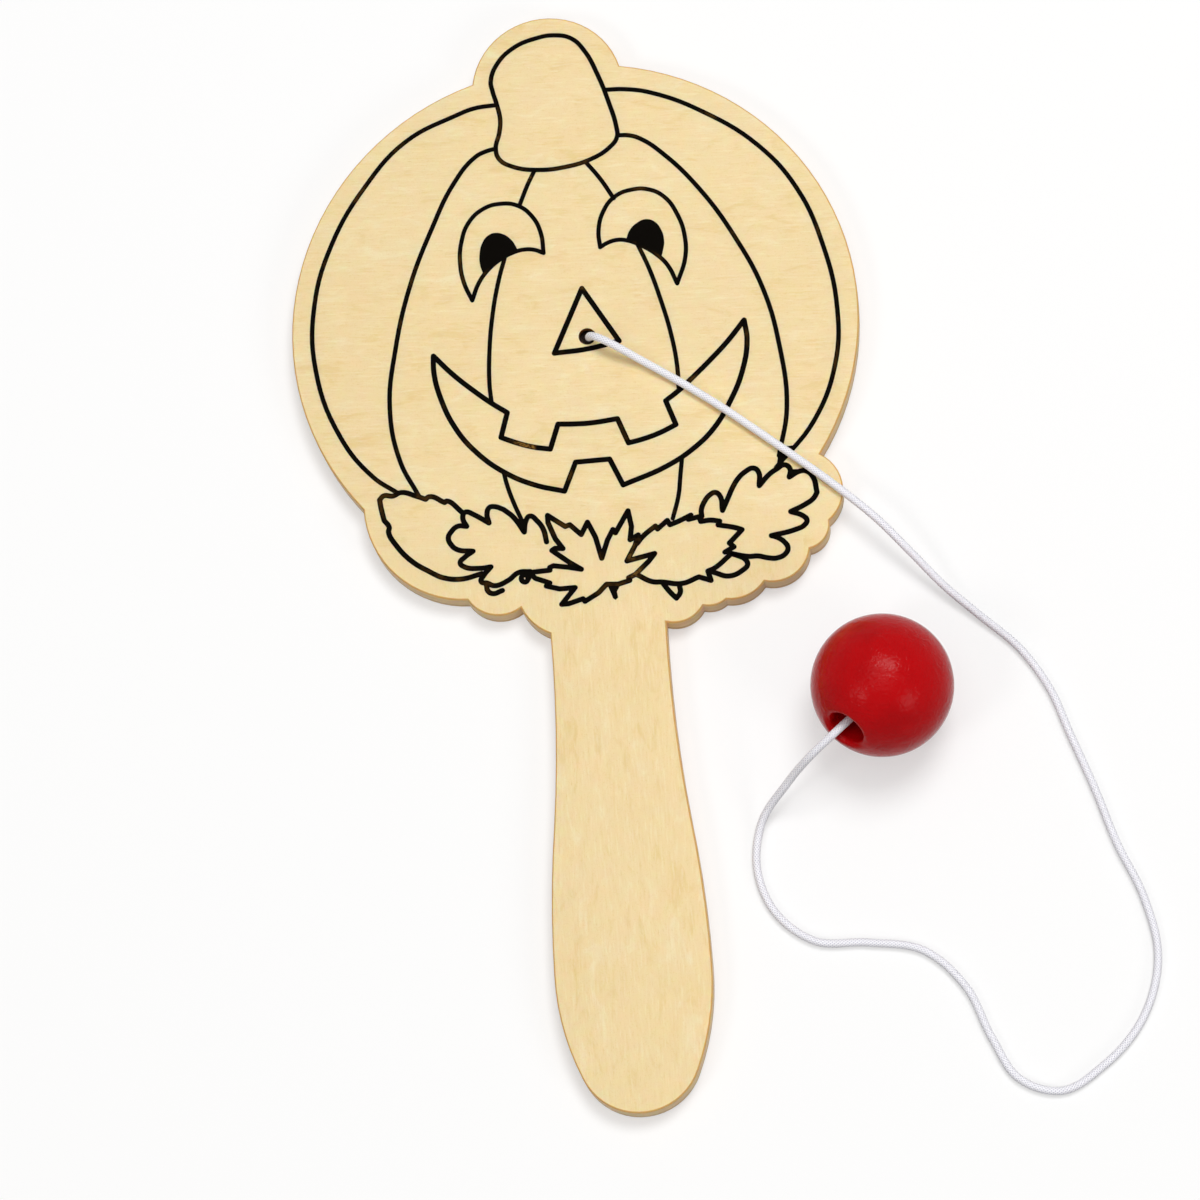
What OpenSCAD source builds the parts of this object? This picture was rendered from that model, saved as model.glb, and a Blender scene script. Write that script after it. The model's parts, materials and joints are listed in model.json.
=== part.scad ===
// Paddle ball game: a flat plywood paddle, an elastic cord knotted through it and a drilled ball.
// The origin is on the paddle's back face, where the handle meets the head.
// +Y runs from the handle to the head and +Z out of the front face. Sizes are in millimetres.

/* [Board] */
// Thickness of the front ply and of the back ply
face_ply_t = 1.5; // [1:0.1:2.5]
// Thickness of the core ply
core_ply_t = 3; // [2.5:0.1:8]

/* [Head] */
// Radius of the two rounds that overlap to make the head
head_r = 58.8; // [52:0.1:70]
// Distance between the centres of the two rounds
head_spread = 4.8; // [2:0.1:16]
// How far the head's centre lies to the right of the handle's centre line
head_shift = -2.6; // [-6:0.1:6]
// Distance from the neck up to the head's centre
head_rise = 69.2; // [64:0.1:80]
// Radius of the stem's round top
stem_r = 16.5; // [10:0.5:24]
// Distance from the head's centre up to the centre of the stem's top
stem_rise = 53.8; // [46:0.1:60]
// How far the stem lies to the right of the head's centre
stem_shift = -2.2; // [-10:0.1:10]

/* [Leaf edge] */
// Radius of the round that joins the leaf edge to the head
bed_r = 33; // [30:0.5:40]
// Distance from the neck up to the centre of that round
bed_rise = 40; // [36:0.5:44]
// How far that round lies to the right of the handle's centre line
bed_shift = 4; // [0:0.5:8]

/* [Handle] */
// Width of the neck at its narrowest
neck_w = 24.6; // [18:0.1:26]
// Distance from the head down to the neck's narrowest place
neck_drop = 5; // [4:0.5:16]
// Width of the grip at its widest
grip_w = 33; // [30:0.1:42]
// Distance from the neck's narrowest place down to the grip's widest place
grip_drop = 68; // [44:0.5:80]
// Part of the curve between neck and grip that bulges outwards
bulge_share = 0.45; // [0.15:0.01:0.5]
// Radius of the grip's sides below its widest place
grip_side_r = 54; // [40:1:120]
// Radius of the handle's round end
tip_r = 13; // [7:0.1:14]

/* [Cord] */
// Diameter of the elastic cord
cord_d = 1.8; // [1.4:0.1:2.4]
// Diameter of the hole in the front ply that the cord comes out of
cord_hole_d = 3.6; // [3.2:0.1:4.4]
// Distance from the neck up to that hole
cord_hole_rise = 66; // [60:0.5:76]
// Diameter of the pocket behind the front ply that holds the knot
pocket_d = 8; // [7:0.1:12]
// Diameter of a knot at its fattest
knot_d = 5.8; // [5:0.1:6.4]
// Length of the knot inside the ball
ball_knot_len = 5; // [4:0.1:7]
// Gap left round everything that turns or lies loose
slack = 0.3; // [0.2:0.05:0.5]

/* [Ball] */
// Diameter of the ball
ball_d = 30; // [28:0.5:36]
// Diameter of the bore at both of the ball's mouths
mouth_d = 8; // [7:0.1:10]
// Radius of the rounded edge of both mouths
lip_r = 1.1; // [0.5:0.1:2]
// Diameter of the bore's waist, which stops the knot
waist_d = 3.4; // [3:0.1:4.4]
// Length of the waist, in the middle of the ball
waist_len = 6; // [3:0.1:8]
// How far the ball lies to the right of the handle's centre line
ball_x = 56.8; // [52:0.1:80]
// Place of the ball along the handle's centre line
ball_y = -18.7; // [-40:0.1:0]
// Compass angle of the open mouth, counted from +X
mouth_turn = 230; // [200:1:260]
// Angle by which the open mouth looks upwards
mouth_lift = 22; // [0:1:40]

/* [Hidden] */
$fn = 96;
board_t = core_ply_t + 2 * face_ply_t;

// Leaf edge: centre and radius of each round scallop, from the right side to the left
leaf_lobes = [
    [43, 27.5, 9], [43, 20, 5.5], [36, 16, 8], [27, 13.5, 8.5], [22, 9.5, 5.5], [14.5, 8, 7],
    [-7.5, 11.5, 11.5], [-22.5, 14, 8], [-28.5, 32, 22]
];

// Handle: an S-curve from the neck to the grip, then two long arcs and a round end
// Neighbouring arcs lap by a hair, so that they cross instead of only touching
arc_lap = 0.01;
neck_y = -neck_drop;
grip_y = neck_y - grip_drop;
grip_swell = (grip_w - neck_w) / 2;
curve_sum = (pow(grip_swell, 2) + pow(grip_drop, 2)) / (2 * grip_swell);
bulge_r = bulge_share * curve_sum;
neck_r = curve_sum - bulge_r;
neck_side_x = neck_w / 2 + neck_r;
turn_x = bulge_share * neck_side_x - (1 - bulge_share) * (bulge_r - grip_w / 2);
turn_y = grip_y + bulge_share * grip_drop;
tip_drop = sqrt(pow(grip_side_r - tip_r, 2) - pow(grip_side_r - grip_w / 2, 2));
tip_y = grip_y - tip_drop;
tip_turn_y = grip_y - tip_drop * grip_side_r / (grip_side_r - tip_r);

// Knots: one seats under the front ply, the other against the waist of the ball's bore
seat_z = board_t - face_ply_t;
knot_top_z = seat_z - slack;
paddle_knot_len = knot_top_z - slack;
ball_at = [ball_x, ball_y, ball_d / 2];
bore_way = [cos(mouth_lift) * cos(mouth_turn), cos(mouth_lift) * sin(mouth_turn), sin(mouth_lift)];
ball_knot_face = waist_len / 2 + slack;

// Mouths: centre of the rounded edge, which touches the bore and the ball's surface
lip_x = mouth_d / 2 + lip_r;
lip_z = sqrt(pow(ball_d / 2 - lip_r, 2) - pow(lip_x, 2));

// Cord: up through the hole, across the face, round a loop on the table and into the ball
// It leans to the side of its hole that it is pulled to
cord_lean = [0.35, -0.2, 0];
cord_start = [0, cord_hole_rise, knot_top_z] + cord_lean;
cord_sides = 8;
ring_step = 5;
cord_route = concat(
    [cord_start, cord_start + [0, 0, cord_d / 4]],
    [
        [0.35, 65.8, 5.1], [0.7, 65.6, 7.2], [2.05, 64.7, 9.15], [4.4, 63.2, 9.95], [7.2, 61.5, 9.3],
        [11, 59.2, 7.8], [16.2, 55.7, 7.3], [25, 49.2, 7.25], [38, 38.4, 7.25], [52, 26, 7.25],
        [58.5, 19.5, 7.25], [65, 12, 5.6], [71.5, 4.5, 3.2], [78.5, -2.3, 1.6],
        [86, -9.8, 1], [91.5, -19, 1], [95, -29.5, 1], [99, -41.5, 1],
        [102.5, -53.5, 1], [107, -65.5, 1], [108.7, -78, 1], [104.5, -90.5, 1],
        [95.5, -99.8, 1], [86, -104.4, 1], [78, -101.3, 1], [73, -92.3, 1], [68.5, -81, 1],
        [60.5, -72.7, 1], [49, -70, 1], [38, -68.7, 1], [30.5, -62.3, 1], [27.2, -52, 1],
        [28.7, -43.5, 1.8], [35, -36.6, 8.6], [42.3, -31.5, 16.9], [46.5, -28.6, 18.8]
    ],
    [ball_at + (waist_len / 2 + cord_d / 2) * bore_way, ball_at - ball_knot_face * bore_way]
);

function unit(v) = v / norm(v);

// Direction of the route at one of its points, weighed by the lengths on either side
function heading(route, i) =
    let (last = len(route) - 1)
    i == 0 ? unit(route[1] - route[0]) :
    i == last ? unit(route[last] - route[last - 1]) :
    let (before = route[i] - route[i - 1], after = route[i + 1] - route[i])
    unit(before / pow(norm(before), 2) + after / pow(norm(after), 2));

// Point on the smooth curve between point i and the next, at share s of the way
function between(route, i, s) =
    let (span = norm(route[i + 1] - route[i]))
    (1 + 2 * s) * pow(1 - s, 2) * route[i] + s * pow(1 - s, 2) * span * heading(route, i)
    + s * s * (3 - 2 * s) * route[i + 1] - s * s * (1 - s) * span * heading(route, i + 1);

// The whole curve, with a point about every step
function smooth_path(route, step) = [
    for (i = [0 : len(route) - 2])
        let (parts = max(1, round(norm(route[i + 1] - route[i]) / step)))
        for (k = [0 : parts - 1]) between(route, i, k / parts),
    route[len(route) - 1]
];

// One sideways direction at each point of a path, carried along it without twisting
function carried(v, way) = unit(v - (v * way) * way);
function side_ways(path) = [
    for (i = 0, v = carried([1, 0, 0], heading(path, 0)); i < len(path);
        i = i + 1, v = i < len(path) ? carried(v, heading(path, i)) : v) v
];

// Points of the rings round a path
function rings(path, d, sides) =
    let (ways = side_ways(path))
    [for (i = [0 : len(path) - 1], k = [0 : sides - 1])
        let (turn = 360 * k / sides, across = cross(heading(path, i), ways[i]))
        path[i] + d / 2 * (cos(turn) * ways[i] + sin(turn) * across)];

// A closed tube along a path
module tube(path, d, sides) {
    last = len(path) - 1;
    polyhedron(
        points = rings(path, d, sides),
        faces = [
            [for (k = [0 : sides - 1]) k],
            for (i = [0 : last - 1], k = [0 : sides - 1])
                let (a = i * sides + k, b = i * sides + (k + 1) % sides)
                each [[a, a + sides, b], [b, a + sides, b + sides]],
            [for (k = [sides - 1 : -1 : 0]) last * sides + k]
        ]
    );
}

// The part of the handle's drawing that lies above a line
module above(bottom_y) {
    intersection() {
        children();
        translate([-grip_w, bottom_y])
            square([2 * grip_w, bed_rise - bottom_y]);
    }
}

// Two arcs of radius r that face each other, w apart at the grip's widest place
module grip_lens(r, w) {
    intersection_for(side = [-1, 1])
        translate([side * (r - w / 2), grip_y])
            circle(r);
}

module handle_outline() {
    translate([0, tip_y])
        circle(tip_r + arc_lap);
    above(tip_turn_y) grip_lens(grip_side_r, grip_w + arc_lap);
    above(grip_y) grip_lens(bulge_r, grip_w);
    difference() {
        polygon([
            [-turn_x, turn_y], [turn_x, turn_y], [neck_side_x, neck_y],
            [neck_side_x, bed_rise], [-neck_side_x, bed_rise], [-neck_side_x, neck_y]
        ]);
        for (side = [-1, 1])
            translate([side * neck_side_x, neck_y])
                circle(neck_r + arc_lap);
    }
}

module head_outline() {
    for (side = [-1, 1])
        translate([head_shift + side * head_spread / 2, head_rise])
            circle(head_r);
    translate([head_shift + stem_shift, head_rise + stem_rise])
        circle(stem_r);
    translate([bed_shift, bed_rise])
        circle(bed_r);
    for (lobe = leaf_lobes)
        translate([lobe[0], lobe[1]])
            circle(lobe[2]);
}

// One layer of the board, with a round hole where the cord is
module ply(bottom_z, thickness, hole_d) {
    difference() {
        translate([0, 0, bottom_z])
            linear_extrude(thickness) {
                head_outline();
                handle_outline();
            }
        translate([0, cord_hole_rise, bottom_z - thickness])
            cylinder(d = hole_d, h = 3 * thickness);
    }
}

module front_ply() {
    color("wheat")
        ply(seat_z, face_ply_t, cord_hole_d);
}

module core_ply() {
    color("tan")
        ply(face_ply_t, core_ply_t, pocket_d);
}

module back_ply() {
    color("burlywood")
        ply(0, face_ply_t, pocket_d);
}

// A knot drawn tight: a barrel with round flanks, standing on z = 0
module knot(length) {
    flank_r = 0.6 * length;
    rotate_extrude()
        intersection() {
            square([knot_d / 2, length]);
            translate([knot_d / 2 - flank_r, length / 2])
                circle(flank_r);
        }
}

module paddle_knot() {
    color("white")
        translate([0, cord_hole_rise, knot_top_z - paddle_knot_len])
            knot(paddle_knot_len);
}

// Stands its children on the ball's centre, with z along the bore towards the open mouth
module along_bore() {
    translate(ball_at)
        rotate([0, 90 - mouth_lift, mouth_turn])
            children();
}

module ball_knot() {
    color("white")
        along_bore()
            translate([0, 0, -ball_knot_face - ball_knot_len])
                knot(ball_knot_len);
}

module cord() {
    color("whitesmoke")
        tube(smooth_path(cord_route, ring_step), cord_d, cord_sides);
}

// What is cut away round a mouth of the ball, so that its edge is round
module mouth_waste() {
    past_ball = 1.5;
    rotate_extrude()
        difference() {
            polygon([
                [waist_d / 2, lip_z], [lip_x, lip_z],
                past_ball * [lip_x, lip_z], [waist_d / 2, past_ball * lip_z]
            ]);
            translate([lip_x, lip_z])
                circle(lip_r + arc_lap);
        }
}

module ball() {
    color("firebrick")
        along_bore()
            difference() {
                sphere(d = ball_d);
                cylinder(d = waist_d, h = ball_d, center = true);
                for (turn = [0, 180])
                    rotate([turn, 0, 0]) {
                        translate([0, 0, waist_len / 2])
                            cylinder(d = mouth_d, h = ball_d);
                        mouth_waste();
                    }
            }
}

front_ply();
core_ply();
back_ply();
cord();
paddle_knot();
ball_knot();
ball();
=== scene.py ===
import json
import math

import bmesh
import bpy
from mathutils import Matrix, Vector


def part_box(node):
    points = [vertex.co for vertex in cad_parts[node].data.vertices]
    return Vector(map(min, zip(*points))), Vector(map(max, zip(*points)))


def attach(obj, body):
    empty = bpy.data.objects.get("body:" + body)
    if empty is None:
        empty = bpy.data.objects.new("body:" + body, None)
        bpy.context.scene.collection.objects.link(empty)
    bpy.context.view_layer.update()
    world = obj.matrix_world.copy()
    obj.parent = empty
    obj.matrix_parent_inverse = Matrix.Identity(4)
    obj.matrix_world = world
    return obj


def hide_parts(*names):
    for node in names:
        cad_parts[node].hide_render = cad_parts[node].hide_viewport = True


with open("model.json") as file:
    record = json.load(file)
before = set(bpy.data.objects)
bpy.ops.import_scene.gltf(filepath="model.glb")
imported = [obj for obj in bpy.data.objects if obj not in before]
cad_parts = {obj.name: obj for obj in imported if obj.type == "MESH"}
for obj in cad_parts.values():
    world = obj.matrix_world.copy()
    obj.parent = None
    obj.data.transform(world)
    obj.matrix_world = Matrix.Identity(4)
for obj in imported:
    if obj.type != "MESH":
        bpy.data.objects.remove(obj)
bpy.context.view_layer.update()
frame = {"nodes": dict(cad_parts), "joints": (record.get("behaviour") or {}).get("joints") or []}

mm = 0.001
joints = {joint["name"]: joint for joint in frame["joints"]}
holeAt = Vector(joints["cord_swing"]["pos_m"])                # the cord turns in its hole
ballAt = Vector(joints["ball_spin"]["pos_m"])                 # the ball's centre
boreWay = Vector(joints["ball_spin"]["axis"]).normalized()    # along the bore, out to the cord
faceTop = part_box("front_ply")[1].z                            # height of the printed face
print("frame loaded:", ", ".join(sorted(frame["nodes"])))


# Small helpers

def clearSelection():
    if bpy.context.object and bpy.context.object.mode != "OBJECT":
        bpy.ops.object.mode_set(mode="OBJECT")
    bpy.ops.object.select_all(action="DESELECT")


def pick(*objects):
    clearSelection()
    for obj in objects:
        obj.select_set(True)
    bpy.context.view_layer.objects.active = objects[0]


def named(name):
    obj = bpy.context.object
    obj.name = name
    obj.data.name = name
    return obj


def selectVerts(obj, test):
    # edit mode: picks the vertices that pass the test
    mesh = bmesh.from_edit_mesh(obj.data)
    bpy.ops.mesh.select_all(action="DESELECT")
    for vert in mesh.verts:
        vert.select = test(vert.co)
    mesh.select_flush(True)
    bmesh.update_edit_mesh(obj.data)


def joinPieces(name, pieces):
    pick(*pieces)
    bpy.ops.object.join()
    return named(name)


def dress(obj, material):
    obj.data.materials.clear()
    obj.data.materials.append(material)


def srgb(red, green, blue):
    # a colour as a picture editor shows it, 0 to 255
    parts = [value / 255 for value in (red, green, blue)]
    linear = [v / 12.92 if v <= 0.04045 else ((v + 0.055) / 1.055) ** 2.4 for v in parts]
    return (*linear, 1)


def metres(lengths):
    # lengths in mm as Blender's metres
    return [length * mm for length in lengths]


# Small helpers for materials

def newMaterial(name):
    material = bpy.data.materials.new(name)
    material.use_nodes = True
    return material, material.node_tree, material.node_tree.nodes["Principled BSDF"]


def feed(tree, socket, value):
    if isinstance(value, bpy.types.NodeSocket):
        tree.links.new(value, socket)
    else:
        socket.default_value = value


def addNode(tree, kind, options=None, **values):
    # values go to the sockets of that name, with _ for a space, and options to the node itself
    node = tree.nodes.new("ShaderNode" + kind)
    for option, setting in (options or {}).items():
        setattr(node, option, setting)
    for socketName, value in values.items():
        feed(tree, node.inputs[socketName.replace("_", " ")], value)
    return node


def math2(tree, operation, first, second=0.0):
    node = addNode(tree, "Math", {"operation": operation})
    feed(tree, node.inputs[0], first)
    feed(tree, node.inputs[1], second)
    return node.outputs[0]


def ramp(tree, value, low, high, top=1.0):
    # 0 below low, top above high, soft between
    options = {"interpolation_type": "SMOOTHSTEP"}
    node = addNode(tree, "MapRange", options, Value=value, From_Min=low, From_Max=high, To_Max=top)
    return node.outputs[0]


def between(tree, value, low, high):
    # spreads a value of 0 to 1 between two others
    return addNode(tree, "MapRange", Value=value, To_Min=low, To_Max=high).outputs[0]


def mixColour(tree, factor, first, second):
    node = addNode(tree, "Mix", {"data_type": "RGBA"})
    feed(tree, node.inputs[0], factor)
    feed(tree, node.inputs[6], first)     # sockets 6 and 7 are its two colours
    feed(tree, node.inputs[7], second)
    return node.outputs[2]


def noise(tree, place, size, turn=0.0, detail=3.0, roughness=0.55, warp=0.0):
    # soft noise whose spots are size mm long in x, y and z, turned by so many degrees
    options = {"vector_type": "TEXTURE"}
    rotation = (0, 0, math.radians(turn))
    mapping = addNode(tree, "Mapping", options, Vector=place, Scale=metres(size), Rotation=rotation)
    texture = addNode(tree, "TexNoise", Vector=mapping.outputs[0], Scale=1.0, Detail=detail,
                      Roughness=roughness, Distortion=warp)
    return texture.outputs["Fac"]


def distanceTo(tree, place, point):
    # how far each place is from one point
    node = addNode(tree, "VectorMath", {"operation": "DISTANCE"})
    feed(tree, node.inputs[0], place)
    feed(tree, node.inputs[1], point)
    return node.outputs["Value"]


def addRelief(tree, shader, height, depth, strength):
    # a bump, with its depth in mm
    bump = addNode(tree, "Bump", Strength=strength, Distance=depth * mm, Height=height)
    tree.links.new(bump.outputs[0], shader.inputs["Normal"])


# Camera: it stands above the table, a little towards the handle and to the right

cameraSet = {
    "aim": (-1.73, 8.98, 0),   # mm, the point in the middle of the picture
    "tiltDown": 14.5,          # degrees off straight above, towards the handle
    "tiltRight": 5.0,          # degrees off straight above, to the right
    "turn": 4.0,               # degrees that the paddle leans to the left in the picture
    "distance": 1108.6,        # mm
    "lens": 156,               # mm
    "sensor": 36,              # mm
}


def makeCamera():
    right = math.tan(math.radians(cameraSet["tiltRight"]))
    down = math.tan(math.radians(cameraSet["tiltDown"]))
    away = Vector((right, -down, 1)).normalized()
    side = Vector((0, 1, 0)).cross(away).normalized()
    up = away.cross(side)
    turn = Matrix.Rotation(-math.radians(cameraSet["turn"]), 3, "Z")
    facing = (turn @ Matrix((side, up, away)).transposed()).to_4x4()
    place = (Vector(cameraSet["aim"]) + turn @ away * cameraSet["distance"]) * mm
    clearSelection()
    bpy.ops.object.camera_add()
    camera = named("camera")
    camera.matrix_world = Matrix.Translation(place) @ facing
    camera.data.lens = cameraSet["lens"]
    camera.data.sensor_width = cameraSet["sensor"]
    bpy.context.scene.camera = camera
    print("camera stands at", [round(value, 4) for value in place])


makeCamera()


# Cord: a braided cover over an elastic core, along one smooth route

cordSet = {
    "diameter": 1.8,       # mm
    "strands": 8,          # that run each way round
    "pitch": 6.4,          # mm of cord for one turn of a strand
    "steps": 4,            # points for each time that a strand goes over and under
    "strandWidth": 0.54,   # mm, a strand lies flat
    "strandThick": 0.14,   # mm
    "wave": 0.04,          # mm that a strand rises and dips
    "coreSides": 8,
    "smoothUnder": 60,     # degrees, sharper edges stay sharp
    "white": srgb(249, 249, 253),
    "shade": srgb(172, 169, 192),      # painted shade between the strands and towards each strand's edges
    "shadeFrom": (0.42, 0.2),          # share of its girth from a strand's underside, none and full
    "shadeShare": 0.85,
    "yarns": 12,                       # fine ridges round a strand
    "yarnDepth": 0.02,                 # mm
    "yarnStrength": 0.2,
    "roughness": 0.6,
    "sheen": 0.1,
    "knotShade": srgb(52, 33, 18),          # painted shade on the knot down in the dark cord hole
    "knotShadeAt": (0.35, 65.8, 1.8),       # mm
    "knotShadeReach": (4.5, 3.5),           # mm from that point, none and full
    "knotShadeHeight": (0.7, 1.5),          # mm, none and full, so the painted shade stays on the knot's upper side and the knot is white from behind
    "exit": (0.5, 65.7, 6),            # mm, where the cord leaves the board
    "route": [                         # mm
        (0.35, 65.8, 4.2), (0.35, 65.8, 4.65), (0.35, 65.8, 5.1), (0.7, 65.6, 7.2), (2.05, 64.7, 9.15),
        (4.4, 63.2, 9.95), (7.2, 61.5, 9.3), (11, 59.2, 7.8), (16.2, 55.7, 7.3), (25, 49.2, 7.25),
        (38, 38.4, 7.25), (52, 26, 7.25), (58.5, 19.5, 7.25), (65, 12, 5.6), (71.5, 4.5, 3.2),
        (78.5, -2.3, 1.6), (86, -9.8, 1), (91.5, -19, 1), (95, -29.5, 1), (99, -41.5, 1), (102.5, -53.5, 1),
        (107, -65.5, 1), (108.7, -78, 1), (104.5, -90.5, 1), (95.5, -99.8, 1), (86, -104.4, 1),
        (78, -101.3, 1), (73, -92.3, 1), (68.5, -81, 1), (60.5, -72.7, 1), (49, -70, 1), (38, -68.7, 1),
        (30.5, -62.3, 1), (27.2, -52, 1), (28.7, -43.5, 1.8), (35, -36.6, 8.6), (42.3, -31.5, 16.9),
        (46.5, -28.6, 18.8),
    ],
    "boreStops": (3.9, -3.3),          # mm along the bore from the ball's centre, the route's last points
}


def headings(points):
    # the way that a smooth curve takes at each point, weighed by the spans on either side
    ways = []
    for index, point in enumerate(points):
        way = Vector()
        if index > 0:
            before = point - points[index - 1]
            way += before / before.length_squared
        if index < len(points) - 1:
            after = points[index + 1] - point
            way += after / after.length_squared
        ways.append(way.normalized())
    return ways


def smoothCurve(points, step):
    # points about every step along the smooth curve through the given points
    ways = headings(points)
    curve = []
    for index in range(len(points) - 1):
        start, end = points[index], points[index + 1]
        span = (end - start).length
        parts = max(1, round(span / step))
        for part in range(parts):
            s = part / parts
            bend = (1 + 2 * s) * (1 - s) ** 2 * start + s * (1 - s) ** 2 * span * ways[index]
            curve.append(bend + s * s * (3 - 2 * s) * end - s * s * (1 - s) * span * ways[index + 1])
    curve.append(points[-1].copy())
    return curve


def evenCurve(points, step):
    # the same curve with points at even distances
    fine = smoothCurve(points, step / 4)
    lengths = [0.0]
    for index in range(1, len(fine)):
        lengths.append(lengths[-1] + (fine[index] - fine[index - 1]).length)
    count = max(2, round(lengths[-1] / step))
    even = []
    index = 0
    for part in range(count + 1):
        target = lengths[-1] * part / count
        while index < len(fine) - 2 and lengths[index + 1] < target:
            index += 1
        share = (target - lengths[index]) / (lengths[index + 1] - lengths[index])
        even.append(fine[index].lerp(fine[index + 1], min(1.0, share)))
    return even, lengths[-1]


def addTube(verts, faces, uvs, rings, stops):
    # joins rings of points to a closed tube, with UV along it in mm and once round it
    first = len(verts)
    sides = len(rings[0])
    last = first + (len(rings) - 1) * sides
    for ring in rings:
        verts.extend(ring)
    faces.append([first + corner for corner in reversed(range(sides))])
    faces.append([last + corner for corner in range(sides)])
    uvs.extend([[(0, 0.5)] * sides] * 2)
    for index in range(len(rings) - 1):
        for corner in range(sides):
            a = first + index * sides + corner
            b = first + index * sides + (corner + 1) % sides
            faces.append([a, b, b + sides, a + sides])
            low, high = corner / sides, (corner + 1) / sides
            start, end = stops[index] / mm, stops[index + 1] / mm
            uvs.append([(start, low), (start, high), (end, high), (end, low)])


def braidedCord(name, points, diameter):
    # a braid of flat strands, half of them turning each way, over a plain core, all one mesh
    pitch = cordSet["pitch"] * mm
    weave = pitch / cordSet["strands"]                # length of one over and under
    path, length = evenCurve(points, weave / cordSet["steps"])
    stops = [length * index / (len(path) - 1) for index in range(len(path))]
    ways = headings(path)
    side = ways[0].orthogonal().normalized()
    sides = []
    for way in ways:
        side = (side - side.dot(way) * way).normalized()
        sides.append(side)
    fineness = diameter / cordSet["diameter"]         # metres for each mm given above, less in a knot
    thick = cordSet["strandThick"] * fineness
    width = cordSet["strandWidth"] * fineness
    wave = cordSet["wave"] * fineness
    middle = diameter / 2 - thick / 2 - wave
    section = ((0.5, 0), (-0.5, 0.5), (-0.5, -0.5))   # a strand's ridge and its two edges
    verts, faces, uvs = [], [], []
    for hand in (1, -1):
        lean = hand * math.tau * middle / pitch
        for strand in range(cordSet["strands"]):
            rings = []
            for centre, way, side, stop in zip(path, ways, sides, stops):
                turn = hand * math.tau * stop / pitch + math.tau * strand / cordSet["strands"]
                across = way.cross(side)
                out = math.cos(turn) * side + math.sin(turn) * across
                around = math.cos(turn) * across - math.sin(turn) * side
                flat = (around - lean * way).normalized()
                height = middle + hand * wave * math.cos(math.tau * stop / weave)
                midway = centre + height * out
                rings.append([midway + up * thick * out + over * width * flat for up, over in section])
            addTube(verts, faces, uvs, rings, stops)
    coreRadius = middle - wave - thick / 2
    coreRings, coreStops = [], []
    for index in list(range(0, len(path) - 1, cordSet["steps"])) + [len(path) - 1]:
        across = ways[index].cross(sides[index])
        ring = []
        for corner in range(cordSet["coreSides"]):
            turn = math.tau * corner / cordSet["coreSides"]
            out = math.cos(turn) * sides[index] + math.sin(turn) * across
            ring.append(path[index] + coreRadius * out)
        coreRings.append(ring)
        coreStops.append(stops[index])
    addTube(verts, faces, uvs, coreRings, coreStops)
    mesh = bpy.data.meshes.new(name)
    mesh.from_pydata([tuple(vert) for vert in verts], [], faces)
    layer = mesh.uv_layers.new(name="strandMap")
    layer.data.foreach_set("uv", [value for face in uvs for corner in face for value in corner])
    cord = bpy.data.objects.new(name, mesh)
    bpy.context.collection.objects.link(cord)
    pick(cord)
    bpy.ops.object.shade_smooth_by_angle(angle=math.radians(cordSet["smoothUnder"]))
    return cord, path, length


def cordMaterial():
    # white yarn, with painted shade towards the edges of each strand and painted shade on the knot in the
    # hole
    material, tree, shader = newMaterial("braidedElastic")
    strandMap = addNode(tree, "UVMap", {"uv_map": "strandMap"}).outputs["UV"]
    across = addNode(tree, "SeparateXYZ", Vector=strandMap).outputs["Y"]
    # painted shade: each strand turns greyer towards its edges, where it meets its neighbours
    fromBack = math2(tree, "ABSOLUTE", math2(tree, "SUBTRACT", across, 0.5))
    edge = ramp(tree, fromBack, *cordSet["shadeFrom"], top=cordSet["shadeShare"])
    colour = mixColour(tree, edge, cordSet["white"], cordSet["shade"])
    place = addNode(tree, "TexCoord").outputs["Object"]
    height = addNode(tree, "SeparateXYZ", Vector=place).outputs["Z"]
    # painted shade: the knot turns dark brown where it sits in the hole, on its upper side only
    fromKnotShade = distanceTo(tree, place, metres(cordSet["knotShadeAt"]))
    near = ramp(tree, fromKnotShade, *metres(cordSet["knotShadeReach"]))
    above = ramp(tree, height, *metres(cordSet["knotShadeHeight"]))
    colour = mixColour(tree, math2(tree, "MULTIPLY", near, above), colour, cordSet["knotShade"])
    tree.links.new(colour, shader.inputs["Base Color"])
    yarn = math2(tree, "SINE", math2(tree, "MULTIPLY", across, math.tau * cordSet["yarns"]))
    addRelief(tree, shader, yarn, cordSet["yarnDepth"], cordSet["yarnStrength"])
    shader.inputs["Roughness"].default_value = cordSet["roughness"]
    shader.inputs["Sheen Weight"].default_value = cordSet["sheen"]
    return material


def cordRoute():
    route = [Vector(point) * mm for point in cordSet["route"]]
    return route + [ballAt + stop * mm * boreWay for stop in cordSet["boreStops"]]


elastic = cordMaterial()
cord, cordPath, cordLength = braidedCord("cord_braid", cordRoute(), cordSet["diameter"] * mm)
dress(cord, elastic)
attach(cord, "tether")
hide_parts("cord")
print("cord braided:", round(cordLength / mm, 1), "mm,", len(cord.data.polygons), "faces")


# Knots: overhand knots drawn tight, one in the pocket behind the front ply and one inside the ball

knotSet = {
    "diameter": 1.6,       # mm, the cord is squeezed in a knot
    "lead": 0.4,           # mm of straight cord before the loop
    "loop": 0.66,          # mm, size of the three-lobed loop
    "rise": 0.95,          # mm that the loop climbs and dips
    "points": 20,          # along the loop
    "start": 1.85,         # radians, where the cord comes into the loop
    "end": math.tau + math.pi / 3,     # and where it leaves it, at the tip of a lobe
    "tipTurn": math.pi / 6,            # the way in which that tip points
    "wrapRadius": 2.6,     # mm, the end is wound once round below the loop
    "wrapDrop": 1.5,       # mm below the middle of the loop
    "wrapPoints": 12,
}


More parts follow.
